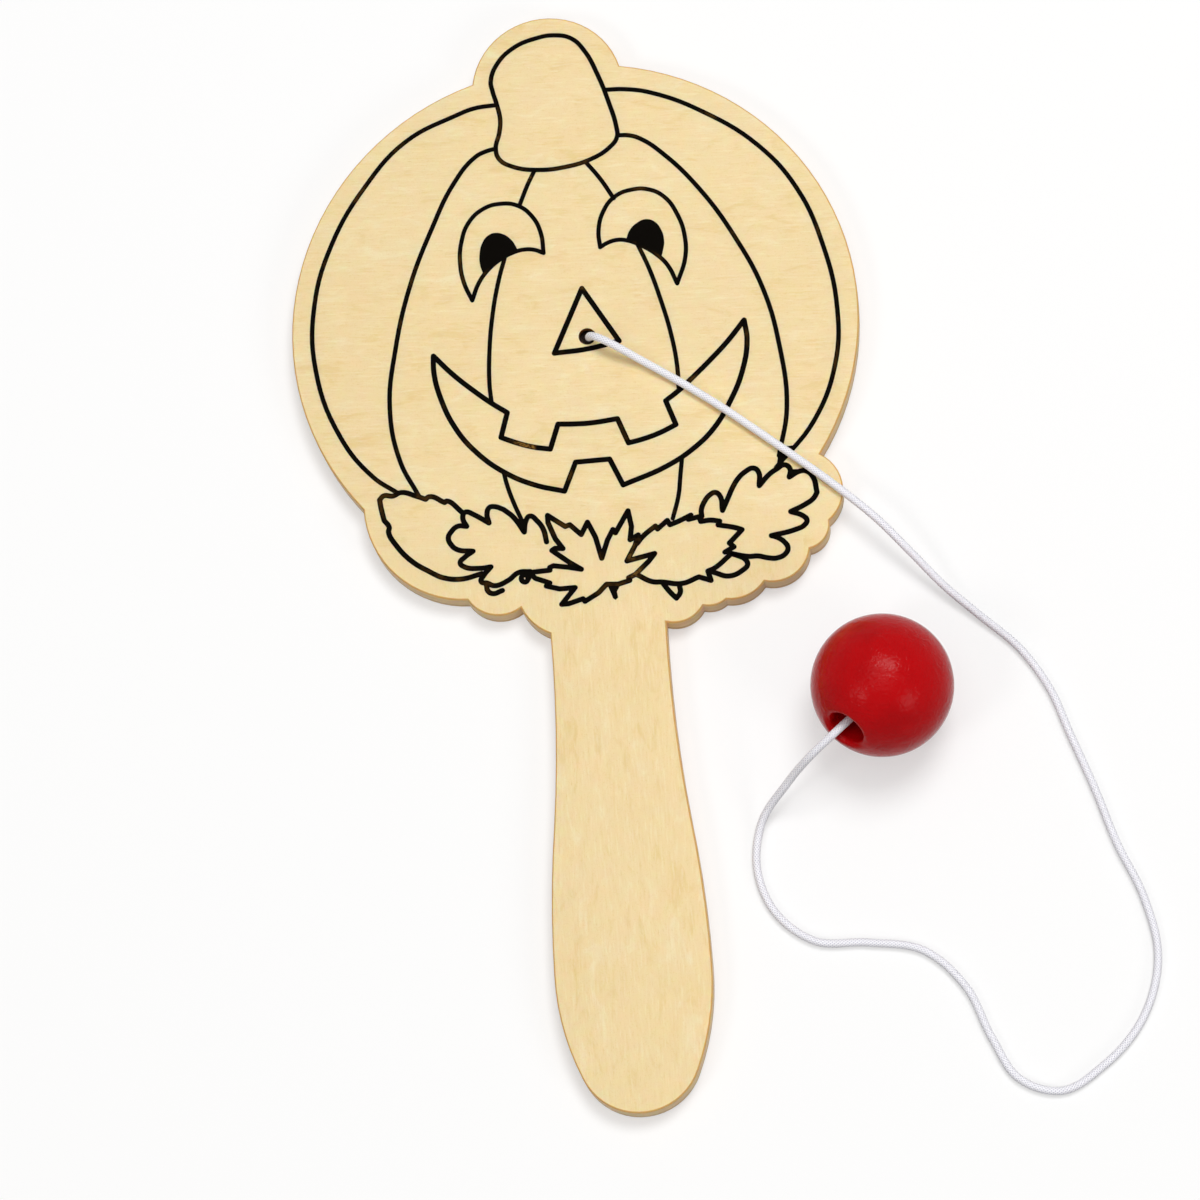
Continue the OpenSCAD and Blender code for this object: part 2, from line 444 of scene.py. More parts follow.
def overhandKnot(name, top, way):
    # the cord comes in at top, goes along way into a three-lobed loop and ends wound once round
    way = way.normalized()
    side = way.orthogonal().normalized()
    across = way.cross(side)
    middle = top + way * (knotSet["rise"] + knotSet["diameter"] / 2) * mm

    def place(x, y, z):
        return middle + (side * x + across * y - way * z) * mm

    loop = []
    for index in range(knotSet["points"] + 1):
        t = knotSet["start"] + (knotSet["end"] - knotSet["start"]) * index / knotSet["points"]
        x = knotSet["loop"] * (math.sin(t) + 2 * math.sin(2 * t))
        y = knotSet["loop"] * (math.cos(t) - 2 * math.cos(2 * t))
        loop.append(place(x, y, -knotSet["rise"] * math.sin(3 * t)))
    wrap = []
    reach = 3 * knotSet["loop"]                       # from the middle to the tip of a lobe
    for index in range(1, knotSet["wrapPoints"] + 1):
        t = knotSet["tipTurn"] + math.tau * index / knotSet["wrapPoints"]
        settled = min(1.0, index * 3 / knotSet["wrapPoints"])     # within the first third of the turn
        radius = reach + (knotSet["wrapRadius"] - reach) * settled
        wrap.append(place(radius * math.cos(t), radius * math.sin(t), -knotSet["wrapDrop"] * settled))
    lead = [top, top + way * knotSet["lead"] * mm]
    knot, _, length = braidedCord(name, lead + loop + wrap, knotSet["diameter"] * mm)
    dress(knot, elastic)
    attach(knot, "tether")
    print(name, "tied:", round(length / mm, 1), "mm of cord")
    return knot


paddleKnot = overhandKnot("paddle_knot_tied", cordPath[0], Vector((0, 0, -1)))
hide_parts("paddle_knot")
ballKnot = overhandKnot("ball_knot_tied", cordPath[-1], -boreWay)
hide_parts("ball_knot")


# Board: three plies of pale veneer, with the outer edges lightly eased

boardSet = {
    "ease": 0.35,                      # mm taken off the outer edges
    "holeEase": 0.1,                   # mm, at the cord hole
    "easeSteps": 4,
    "sharpAngle": 57,                  # degrees, edges bent more than this are eased
    "levelWithin": 0.01,               # mm
    "mergeWithin": 0.005,              # mm
    "flatWithin": 0.1,                 # degrees, faces that lie flatter than this become one
    "smoothUnder": 35,                 # degrees
    "pale": srgb(242, 217, 169),       # the face
    "warm": srgb(229, 197, 129),       # streaks and blotches on it
    "light": srgb(248, 232, 197),
    "fleck": srgb(214, 174, 104),
    "rim": srgb(212, 164, 96),         # browned edges
    "frontWall": srgb(250, 212, 150),
    "coreWall": srgb(248, 210, 160),
    "backWall": srgb(224, 178, 126),
    "holeShade": srgb(122, 74, 26),        # painted shade inside the cord hole
    "neck": (2, 34),                   # mm along y, where the handle's grain turns into the head's
    "headTurn": -4,                    # degrees that the grain on the head slopes
    "holeReach": 6,                    # mm, edges nearer to the hole belong to it
    # patterns that follow the grain: mm along and across it, and their looks
    "grain": {
        "blotches": (9, 3.4, {"detail": 4.0, "warp": 0.8}),
        "fibres": (4.6, 0.42, {"detail": 3.0, "roughness": 0.65, "warp": 0.35}),
        "flecks": (2.2, 0.36, {"detail": 2.0, "warp": 0.2}),
    },
    "grainDepth": 30,                  # mm
    # patterns that follow none: their size in mm and detail
    "even": {
        "clouds": ((34, 22, 30), 3.0),
        "tooth": ((0.32, 0.32, 0.32), 2.0),
    },
    # what lies over the pale face: the pattern, where it starts and is full, its share and colour
    "coats": [
        ("clouds", 0.42, 0.7, 0.1, "warm"),
        ("blotches", 0.52, 0.74, 0.5, "warm"),
        ("blotches", 0.46, 0.28, 0.5, "light"),
        ("fibres", 0.53, 0.72, 0.3, "warm"),
        ("fibres", 0.48, 0.3, 0.42, "light"),
        ("flecks", 0.64, 0.78, 0.3, "fleck"),
        ("tooth", 0.52, 0.72, 0.3, "warm"),
    ],
    "layerLines": (11, 11, 0.3),       # mm, fine lines along the sawn edge
    "layerFrom": (0.4, 0.7),           # of their noise, none and full
    "layerShare": 0.5,
    "rimReach": (0.5, 0.2),            # mm below the face, none and full
    "holeShadeReach": (5, 4.5),            # mm from the middle of the hole, none and full
    "faceReach": (0.02, 0.004),        # mm, the wall ends and the face is full
    "fleckHeight": 0.6,                # beside that of the fibres
    "grainRelief": 0.06,               # mm
    "reliefStrength": 0.1,
    "roughness": (0.5, 0.66),
    "gloss": 0.25,
    "glow": (1.0, 0.45, 0.12),         # how far red, green and blue light spread inside the wood
    "glowReach": 2.2,                  # mm
    "glowShare": 0.55,
}


def easeEdges(ply, height, width, atHole):
    # edit mode: rounds over the sharp edges at one height, those of the hole or all others
    mesh = bmesh.from_edit_mesh(ply.data)
    bpy.ops.mesh.select_all(action="DESELECT")
    bpy.ops.mesh.select_mode(type="EDGE")
    sharpAngle = math.radians(boardSet["sharpAngle"])
    for edge in mesh.edges:
        level = all(abs(vert.co.z - height) < boardSet["levelWithin"] * mm for vert in edge.verts)
        sharp = len(edge.link_faces) == 2 and edge.calc_face_angle() > sharpAngle
        nearHole = (edge.verts[0].co - holeAt).xy.length < boardSet["holeReach"] * mm
        edge.select = level and sharp and nearHole == atHole
    bmesh.update_edit_mesh(ply.data)
    bpy.ops.mesh.bevel(offset=width * mm, segments=boardSet["easeSteps"], affect="EDGES",
                       clamp_overlap=True)
    bpy.ops.mesh.select_mode(type="VERT")


def easedPly(nodeName, edgeHeight):
    # a copy of the ply with its outward edges rounded over
    pick(frame["nodes"][nodeName])
    bpy.ops.object.duplicate()
    ply = named(nodeName + "_eased")
    bpy.ops.object.mode_set(mode="EDIT")
    bpy.ops.mesh.select_all(action="SELECT")
    bpy.ops.mesh.remove_doubles(threshold=boardSet["mergeWithin"] * mm)
    bpy.ops.mesh.dissolve_limited(angle_limit=math.radians(boardSet["flatWithin"]))
    easeEdges(ply, edgeHeight, boardSet["ease"], atHole=False)
    easeEdges(ply, edgeHeight, boardSet["holeEase"], atHole=True)
    bpy.ops.object.mode_set(mode="OBJECT")
    bpy.ops.object.shade_smooth_by_angle(angle=math.radians(boardSet["smoothUnder"]))
    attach(ply, "paddle")
    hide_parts(nodeName)
    print(nodeName, "eased:", len(ply.data.polygons), "faces")
    return ply


def veneerMaterial(name, faceHeight, wallColour):
    # the face shows grain, the wall is the sawn edge with the colour of its own layer
    material, tree, shader = newMaterial(name)
    place = addNode(tree, "TexCoord").outputs["Object"]
    axes = addNode(tree, "SeparateXYZ", Vector=place).outputs
    onHead = ramp(tree, axes["Y"], *metres(boardSet["neck"]))
    depth = boardSet["grainDepth"]
    patterns = {}
    for pattern, (along, across, looks) in boardSet["grain"].items():
        # drawn out across the head, and along the handle
        head = noise(tree, place, (along, across, depth), turn=boardSet["headTurn"], **looks)
        handle = noise(tree, place, (across, along, depth), **looks)
        patterns[pattern] = mixColour(tree, onHead, handle, head)
    for pattern, (size, detail) in boardSet["even"].items():
        patterns[pattern] = noise(tree, place, size, detail=detail)
    face = boardSet["pale"]
    for pattern, low, high, share, colour in boardSet["coats"]:
        coat = ramp(tree, patterns[pattern], low, high, top=share)
        face = mixColour(tree, coat, face, boardSet[colour])
    # the wall: fine lines along the layer, a browned rim and painted shade in the cord hole
    lines = noise(tree, place, boardSet["layerLines"])
    lines = ramp(tree, lines, *boardSet["layerFrom"], top=boardSet["layerShare"])
    wall = mixColour(tree, lines, wallColour, boardSet["backWall"])
    fromFace = math2(tree, "ABSOLUTE", math2(tree, "SUBTRACT", axes["Z"], faceHeight))
    wall = mixColour(tree, ramp(tree, fromFace, *metres(boardSet["rimReach"])), wall, boardSet["rim"])
    # painted shade: walls near the cord hole turn dark brown
    flat = addNode(tree, "CombineXYZ", X=axes["X"], Y=axes["Y"]).outputs[0]
    fromHole = distanceTo(tree, flat, (holeAt.x, holeAt.y, 0))
    wall = mixColour(tree, ramp(tree, fromHole, *metres(boardSet["holeShadeReach"])), wall, boardSet["holeShade"])
    onFace = ramp(tree, fromFace, *metres(boardSet["faceReach"]))
    tree.links.new(mixColour(tree, onFace, wall, face), shader.inputs["Base Color"])
    flecks = math2(tree, "MULTIPLY", patterns["flecks"], boardSet["fleckHeight"])
    height = math2(tree, "ADD", patterns["fibres"], flecks)
    addRelief(tree, shader, height, boardSet["grainRelief"], boardSet["reliefStrength"])
    tree.links.new(between(tree, patterns["fibres"], *boardSet["roughness"]), shader.inputs["Roughness"])
    shader.inputs["Specular IOR Level"].default_value = boardSet["gloss"]
    shader.inputs["Subsurface Weight"].default_value = boardSet["glowShare"]
    shader.inputs["Subsurface Radius"].default_value = boardSet["glow"]
    shader.inputs["Subsurface Scale"].default_value = boardSet["glowReach"] * mm
    return material


noFace = 20 * mm   # a height above the whole board, for a ply that shows only its edge
backFace = 0.0
frontPly = easedPly("front_ply", faceTop)
backPly = easedPly("back_ply", backFace)
dress(frontPly, veneerMaterial("frontVeneer", faceTop, boardSet["frontWall"]))
dress(backPly, veneerMaterial("backVeneer", backFace, boardSet["backWall"]))
dress(frame["nodes"]["core_ply"], veneerMaterial("coreVeneer", noFace, boardSet["coreWall"]))


# Ink: the line drawing printed on the face, as smooth strokes that lie on the veneer

inkSet = {
    "proud": 0.03,         # mm that a line stands on the face
    "patchProud": 0.01,    # mm that a solid patch stands on it
    "black": srgb(6, 4, 2),
    "brown": srgb(62, 41, 13),         # in the middle of a line, where the ink is thin
    "worn": srgb(136, 98, 44),         # in a few short places
    "pens": {"rib": 1.02, "thin": 0.96, "bold": 1.16, "leaf": 1.16},   # mm, widths of the strokes
    "curveSteps": 7,       # from one point of a stroke to the next
    "penSteps": 1,         # how finely a stroke is rounded
    "dotSegments": 16,
    "dotRings": 6,
    "smoothUnder": 40,     # degrees
    "middleFrom": 0.4,     # share of the ink's height from which a place is in the middle of a line
    "thinSize": (9, 9, 9),             # mm, places of thin ink, of wear and of specks
    "wornSize": (16, 16, 16),
    "speckSize": (0.6, 0.6, 9),
    "thinFrom": (0.54, 0.68),          # of their noise, none and full
    "wornFrom": (0.66, 0.74),
    "speckFrom": (0.3, 0.6),
    "roughness": (0.55, 0.75),
    "speckDepth": 0.02,                # mm
    "speckStrength": 0.2,
    "gloss": 0.02,
}

# Strokes in mm on the face. Each is one smooth curve, and strokes that share an end make a corner there.
inkStrokes = {
    "rib": [
        # outer ribs, then the second pair, from the stem down
        [(-16.1, 120.5), (-21, 120.2), (-25, 119), (-36.5, 114), (-46, 104.5), (-54, 92), (-58.5, 78.5),
         (-59, 64), (-54.5, 48.5), (-48, 39), (-43, 35)],
        [(7.8, 121.6), (12, 121.3), (17.5, 120), (28.5, 114.5), (40, 105.5), (47.5, 95), (52, 82), (54, 67),
         (52.5, 54.5), (47, 42.5), (38.2, 33)],
        [(-16.9, 110.5), (-19, 110.1), (-21.5, 109), (-26.5, 103.5), (-32, 93.5), (-37.5, 81), (-41.5, 67),
         (-43.5, 54), (-42, 42), (-38.5, 34)],
        [(9.8, 110.9), (12.3, 110.6), (14.5, 109.7), (19, 106), (26.5, 97), (33.5, 85), (38.5, 73), (41, 60),
         (41.5, 46), (39, 35.5)],
    ],
    "thin": [
        # eyes: brow, then lid
        [(-24.2, 76.5), (-25.7, 80.5), (-26.3, 85), (-25.7, 90), (-23.8, 94.3), (-20.5, 97), (-16.8, 97.8),
         (-13, 97), (-10, 94.2), (-8.4, 90.3), (-8.1, 85.7)],
        [(-8.1, 85.7), (-10, 86.6), (-12.3, 86.9), (-14.5, 86.5), (-17.5, 85.2), (-20.5, 82.9),
         (-22.6, 80.2), (-24.2, 76.5)],
        [(4.2, 85.8), (4.1, 89.5), (5.4, 93.8), (8.2, 97), (12, 98.2), (15.5, 97.9), (18.8, 95.9),
         (21.4, 91.5), (22.6, 86.5), (22.3, 81.5), (20.2, 76)],
        [(20.2, 76), (18.4, 80.4), (16.2, 83), (13.3, 85.2), (10, 86.8), (8, 87.1), (6, 86.7), (4.2, 85.8)],
        # inner ribs, in pieces above and below the eyes and under the mouth
        [(-8.9, 104.5), (-10.5, 101.6), (-12.6, 97)],
        [(2.4, 105.5), (5.2, 101.5), (7.9, 96.6)],
        [(-16.6, 85.4), (-18.2, 80.5), (-20, 73), (-21.3, 64), (-21.7, 57), (-21.5, 53)],
        [(12.3, 85.7), (14.4, 80), (16.3, 73), (18, 65), (18.8, 58), (18.8, 52.5)],
        [(-19.9, 37.3), (-19.4, 34.6), (-18.4, 31), (-16.6, 26)],
        [(18.3, 36.7), (17.7, 33), (17, 28.8), (15.4, 23.8)],
    ],
    "bold": [
        # nose
        [(-0.4, 76.9), (6.8, 64.3)], [(6.8, 64.3), (0, 63.2), (-7.3, 62.9)], [(-7.3, 62.9), (-0.4, 76.9)],
        # upper lip with its teeth
        [(-33.4, 64.8), (-29.5, 60.3), (-25, 56), (-21.5, 53), (-18.3, 50.6)], [(-18.3, 50.6), (-20, 45.2)],
        [(-20, 45.2), (-17, 43.8), (-13.5, 42.5), (-9.6, 41.6)], [(-9.6, 41.6), (-7.6, 47)],
        [(-7.6, 47), (-4, 46.7), (-0.5, 46.6), (5.2, 47)], [(5.2, 47), (7.2, 41.4)],
        [(7.2, 41.4), (10.5, 42), (14, 43), (17.6, 44.5)], [(17.6, 44.5), (15.8, 50)],
        [(15.8, 50), (19, 52.2), (22, 54.7), (26, 58.2), (30, 62), (33.9, 66.4)],
        # lower lip
        [(33.9, 66.4), (34.2, 62), (32.7, 55.2), (29.5, 48.5), (25.5, 42.8), (21, 38.9), (15, 35.5),
         (5.4, 32.2)], [(5.4, 32.2), (2.9, 38.2)],
        [(2.9, 38.2), (-4.4, 38.2)], [(-4.4, 38.2), (-7.2, 32)],
        [(-7.2, 32), (-13.5, 34), (-19.5, 37.2), (-25.5, 42.4), (-29.7, 48.3), (-32.5, 55.5), (-33.5, 61),
         (-33.4, 64.8)],
    ],
    "leaf": [
        # plain leaf on the left
        [(-46.9, 33.8), (-46, 34.6), (-44, 34.4), (-42.2, 35), (-39, 33.9), (-37, 33)],
        [(-37, 33), (-36.3, 33.5), (-33, 31.9)], [(-33, 31.9), (-32.5, 32.2), (-29.2, 29.2)],
        [(-46.9, 33.8), (-46.7, 32), (-46.2, 29.2)],
        [(-46.2, 29.2), (-45.2, 27.5), (-45.4, 26.5), (-44, 23.5), (-40.7, 19.5), (-36.5, 16.5)],
        [(-36.5, 16.5), (-34.7, 15.5), (-30.7, 14.7), (-26, 15.5)],
        # lobed leaf beside it, and its stalk
        [(-29.2, 29.2), (-28.4, 29.4), (-27, 28.7), (-23.8, 26.5)],
        [(-23.8, 26.5), (-24.1, 28.5), (-23.5, 29.9), (-22.4, 30), (-20.5, 29.2)],
        [(-20.5, 29.2), (-18.5, 27.3), (-16.4, 23.8)],
        [(-16.4, 23.8), (-15.9, 26.2), (-15, 27.2), (-13.5, 26), (-12.3, 24), (-11.8, 21.2)],
        [(-29.2, 29.2), (-29.3, 27.8), (-28.6, 26.2)],
        [(-28.6, 26.2), (-30.5, 26.4), (-32, 25.3), (-32.7, 24), (-32.2, 22.5), (-31, 21.3), (-27.6, 20.6)],
        [(-27.6, 20.6), (-29.5, 19.4), (-30.5, 18.3), (-29.8, 17.4), (-26.5, 16.7), (-24, 16.8)],
        [(-24, 16.8), (-25.7, 15), (-26.3, 13.8), (-25, 13.3)],
        [(-25, 13.3), (-23.5, 12.6), (-20.5, 13.5), (-18.2, 15), (-15.7, 15)],
        [(-25.2, 12.8), (-25, 11.6), (-24, 10.9), (-21.9, 11.4)],
        [(-16.1, 13.6), (-16.9, 14.4), (-17.7, 13.6), (-16.9, 12.8), (-16.1, 13.6)],
        # toothed leaf on the right of the middle, its stalk and the tip of another below it
        [(7.4, 19), (8.9, 20.6), (11.6, 22.5)], [(11.6, 22.5), (12, 21.8)], [(12, 21.8), (14.2, 23.5)],
        [(14.2, 23.5), (14.7, 22.5)], [(14.7, 22.5), (16.3, 23), (19.3, 24.2)], [(19.3, 24.2), (18.7, 23.3)],
        [(18.7, 23.3), (21, 23.7)], [(21, 23.7), (21.3, 22.6)], [(21.3, 22.6), (23.4, 22.7), (25.3, 22.3)],
        [(25.3, 22.3), (24.9, 21.5)], [(24.9, 21.5), (28.7, 20.5), (29.9, 20)], [(29.9, 20), (27, 17.3)],
        [(27, 17.3), (27.9, 16.4)], [(27.9, 16.4), (25.9, 15.4)], [(26.8, 14.6), (23.4, 12.1), (22, 11.6)],
        [(22, 11.6), (22.5, 9.5)], [(22.5, 9.5), (20, 10.5)],
        [(20, 10.5), (16.3, 9.4), (12.1, 10.1), (10, 10.4), (6.8, 12.3)],
        [(12.4, 9.6), (13.7, 7.7), (14.9, 6.3)], [(14.9, 6.3), (15.8, 7.5), (15.7, 9.2)],
        [(26.8, 15.1), (28.7, 14.3), (30, 13.5), (30.5, 12.3), (29.5, 11.2), (26.4, 10.1), (23.2, 11.2)],
        # lobed leaf on the right
        [(21.6, 23.7), (21.6, 25.1), (22.4, 26.9), (23.7, 28.3), (24.8, 28.7), (25.7, 28), (26.1, 24.6)],
        [(26.1, 24.6), (27.6, 27.5), (28.7, 29.6), (30, 31.4), (31.6, 32.7), (33.3, 33.3), (34.3, 32.5),
         (34.3, 29.3)],
        [(34.3, 29.3), (36.6, 31.6), (38.4, 32.7), (40, 33.4), (41.1, 32.4), (40.8, 30.6)],
        [(40.8, 30.6), (43.2, 31.7), (44.5, 31.6), (45.8, 30.2), (46.4, 26.7)],
        [(46.4, 26.7), (45.6, 25.5), (43.7, 24.3), (40.5, 23)],
        [(40.5, 23), (43.2, 21.7), (43.8, 20.8), (43.2, 19.8), (41.3, 19), (36, 18.1)],
        [(36, 18.1), (37.4, 17.5), (38.7, 16.4), (39.3, 15.1), (38.7, 13.9), (36.8, 13.1), (35, 13.3),
         (32.9, 13.9), (30.8, 14), (26.8, 15.1)],
    ],
}

# The stem is one closed curve, and the pointed leaf in the middle has straight sides
inkStem = [
    (-16, 120.5), (-16.8, 124), (-17, 126), (-15.3, 130), (-11.5, 133.3), (-6.5, 135), (-2.5, 135.3),
    (1.2, 134.2), (3.8, 131.2), (6.4, 125.2), (8.4, 118.5), (9.6, 113), (9.6, 110.5), (7.8, 108.3),
    (3.5, 106), (-2, 104.8), (-8, 104.7), (-13.5, 106), (-16.3, 108), (-16.9, 110.5), (-15.9, 114),
    (-15.5, 117),
]
inkPointedLeaf = [
    (-11.2, 27), (-7.6, 24.2), (-6.6, 24.5), (-4.3, 22.1), (-2.8, 24.7), (-1.3, 21.2), (-0.3, 16.5),
    (1.2, 20.4), (2.5, 22.6), (3, 21.8), (6, 26.4), (6.5, 22.9), (6, 20), (7.8, 20.9), (7, 18.7), (5, 15.4),
    (11, 16.5), (9.7, 15), (6.6, 12.3), (5.1, 11.7), (5.3, 11.1), (2.8, 10.5), (0.3, 10.7), (-1.5, 9),
    (-4.5, 7.4), (-4.9, 8), (-8, 7.2), (-9.5, 7.2), (-6.4, 10.6), (-9.7, 10.6), (-12.5, 11.5), (-11.7, 12.1),
    (-14.7, 13.4), (-15.9, 14.8), (-11.5, 14.9), (-11.5, 15.5), (-10.7, 15.8), (-7.6, 15.2), (-4.8, 14.5),
    (-7.2, 16.2), (-10.8, 19.2), (-10.1, 19.6), (-8.4, 19.4), (-9.9, 21.7), (-11.2, 25.4),
]

# Solid patches: a smooth curve, and the points that lead from its end back to its start
inkPatches = [
    # pupils, closed by the lid
    ([(-21.5, 82.4), (-22, 84.3), (-22, 86.5), (-21.2, 89.3), (-19.8, 90.9), (-18.3, 91.3), (-16.5, 90.8),
      (-14.8, 89.3), (-13.6, 86.9)], [(-16, 86), (-19, 84.1)]),
    ([(9.9, 86.9), (10.8, 89), (12.6, 90.6), (14.5, 91.2), (16.3, 90.5), (17.6, 88.6), (18.1, 85.8),
      (17.7, 83.8), (17.2, 82.2)], [(15.2, 83.9), (12.5, 85.7)]),
    # stalk of the pointed leaf
    ([(0.6, 10.2), (3.2, 10.2)], [(2.4, 8.9), (2.6, 7.6), (2, 7.1), (1.5, 7.5)]),
    # sharp notches that are filled
    ([(-17.6, 26.4), (-16.4, 26.6)], [(-16.2, 24)]),
    ([(-29.4, 21), (-27.6, 20.6)], [(-29, 19.9)]),
    ([(25.8, 27), (27.2, 27)], [(26.1, 24.6)]),
    ([(40.8, 30.6), (41.2, 32.3)], [(42.6, 32.2), (42.4, 31.2)]),
    ([(38.2, 33), (39.3, 37.5)], [(42, 37.5)]),
]


def addSpline(curve, points, closed=False, corners=()):
    spline = curve.splines.new("BEZIER")
    spline.bezier_points.add(len(points) - 1)
    for stop, (x, y) in zip(spline.bezier_points, points):
        stop.co = (x * mm, y * mm, faceTop)
        handles = "VECTOR" if (x, y) in corners else "AUTO"
        stop.handle_left_type = handles
        stop.handle_right_type = handles
    spline.use_cyclic_u = closed
    spline.resolution_u = inkSet["curveSteps"]


def startCurve(name):
    clearSelection()
    bpy.ops.curve.primitive_bezier_curve_add()
    obj = named(name)
    obj.data.splines.clear()
    return obj


def curveToMesh(obj):
    pick(obj)
    bpy.ops.object.convert(target="MESH")
    return bpy.context.object


def flatten(obj, thickness):
    # squeezes a round stroke until it stands proud of the face by the thickness of the ink
    pick(obj)
    bpy.ops.object.mode_set(mode="EDIT")
    bpy.ops.mesh.select_all(action="SELECT")
    squeeze = (1, 1, inkSet["proud"] / thickness)
    bpy.ops.transform.resize(value=squeeze, center_override=(0, 0, faceTop))
    bpy.ops.object.mode_set(mode="OBJECT")


def inkPen(pen, strokes):
    # all strokes of one width, and a round dot at each of their ends
    width = inkSet["pens"][pen]
    lines = startCurve("ink_" + pen)
    lines.data.dimensions = "3D"
    lines.data.bevel_depth = width / 2 * mm
    lines.data.bevel_resolution = inkSet["penSteps"]
    ends = set()
    for points in strokes:
        addSpline(lines.data, points)
        ends.update((points[0], points[-1]))
    if pen == "rib":
        addSpline(lines.data, inkStem, closed=True)
    lines = curveToMesh(lines)
    clearSelection()
    bpy.ops.mesh.primitive_uv_sphere_add(segments=inkSet["dotSegments"], ring_count=inkSet["dotRings"],
                                         radius=width / 2 * mm)
    dot = bpy.context.object
    dots = []
    for x, y in sorted(ends):
        pick(dot)
        bpy.ops.object.duplicate()
        dots.append(bpy.context.object)
        dots[-1].location = (x * mm, y * mm, faceTop)
        bpy.ops.object.transform_apply(location=True, rotation=True, scale=True)
    pick(dot)
    bpy.ops.object.delete()
    lines = joinPieces("ink_" + pen, [lines] + dots)
    flatten(lines, width / 2)
    return lines


def inkPatch(curved, straight):
    patch = startCurve("ink_patch")
    patch.data.dimensions = "2D"
    patch.data.fill_mode = "BOTH"
    patch.data.extrude = inkSet["patchProud"] * mm
    addSpline(patch.data, curved + straight, closed=True, corners=[curved[0], curved[-1]] + straight)
    patch = curveToMesh(patch)
    pick(patch)
    heights = [vert.co.z for vert in patch.data.vertices]
    patch.location.z += faceTop - sum(heights) / len(heights)
    bpy.ops.object.transform_apply(location=True, rotation=True, scale=True)
    return patch


def inkMaterial():
    # black, browner along the middle of a line and worn in a few short places
    material, tree, shader = newMaterial("printedInk")
    place = addNode(tree, "TexCoord").outputs["Object"]
    height = addNode(tree, "SeparateXYZ", Vector=place).outputs["Z"]
    proud = inkSet["proud"] * mm
    inMiddle = ramp(tree, height, faceTop + proud * inkSet["middleFrom"], faceTop + proud)
    thin = noise(tree, place, inkSet["thinSize"], detail=4.0, roughness=0.65)
    wear = noise(tree, place, inkSet["wornSize"])
    specks = noise(tree, place, inkSet["speckSize"], detail=2.0)
    brown = math2(tree, "MULTIPLY", inMiddle, ramp(tree, thin, *inkSet["thinFrom"]))
    worn = math2(tree, "MULTIPLY", inMiddle, ramp(tree, wear, *inkSet["wornFrom"]))
    worn = math2(tree, "MULTIPLY", worn, ramp(tree, specks, *inkSet["speckFrom"]))
    colour = mixColour(tree, brown, inkSet["black"], inkSet["brown"])
    tree.links.new(mixColour(tree, worn, colour, inkSet["worn"]), shader.inputs["Base Color"])
    tree.links.new(between(tree, specks, *inkSet["roughness"]), shader.inputs["Roughness"])
    addRelief(tree, shader, specks, inkSet["speckDepth"], inkSet["speckStrength"])
    shader.inputs["Specular IOR Level"].default_value = inkSet["gloss"]
    return material


leafSides = [list(side) for side in zip(inkPointedLeaf, inkPointedLeaf[1:] + inkPointedLeaf[:1])]
inkStrokes["leaf"] += leafSides
inkPieces = [inkPen(pen, strokes) for pen, strokes in inkStrokes.items()]
inkPieces += [inkPatch(curved, straight) for curved, straight in inkPatches]
ink = joinPieces("ink_drawing", inkPieces)
bpy.ops.object.shade_smooth_by_angle(angle=math.radians(inkSet["smoothUnder"]))
dress(ink, inkMaterial())
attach(ink, "paddle")
print("ink drawn:", len(ink.data.polygons), "faces")


# Ball: turned wood, drilled with a stepped bore, painted red

ballSet = {
    "diameter": 30.0,      # mm
    "mouth": 8.0,          # mm, bore at both ends
    "waist": 3.4,          # mm, bore in the middle
    "waistLength": 6.0,    # mm
    "lip": 1.1,            # mm, radius of the rounded mouth
    "lipSteps": 6,
    "pocketRings": (0.6, 0.25),        # shares of the pocket's depth
    "pocketEase": 0.3,     # mm, at the pocket's bottom
    "waistEase": 0.4,      # mm, at the ends of the waist
    "arcPoints": 176,      # of the whole circle
    "spinSteps": 112,
    "mergeWithin": 0.001,  # mm
    "mirrorWithin": 0.005,             # mm, where the two halves meet
    "smoothUnder": 50,     # degrees
    "dents": 0.05,         # mm, unevenness of the painted wood
    "dentSize": 5.0,       # mm across
    "red": srgb(184, 4, 10),
    "deep": srgb(152, 4, 9),
    "deepFrom": (0.4, 0.75),           # of the noise, none and full
    "deepShare": 0.5,
    "patchSize": (8, 8, 8),            # mm, uneven colour, ripples of the paint and fine specks
    "rippleSize": (1.5, 1.5, 1.5),
    "fineSize": (0.35, 0.35, 0.35),
    "rippleWarp": 1.2,
    "fineHeight": 0.08,                # beside that of the ripples
    "rippleDepth": 0.25,               # mm
    "rippleStrength": 0.65,
    "roughness": (0.13, 0.2),
    "gloss": 0.07,
}


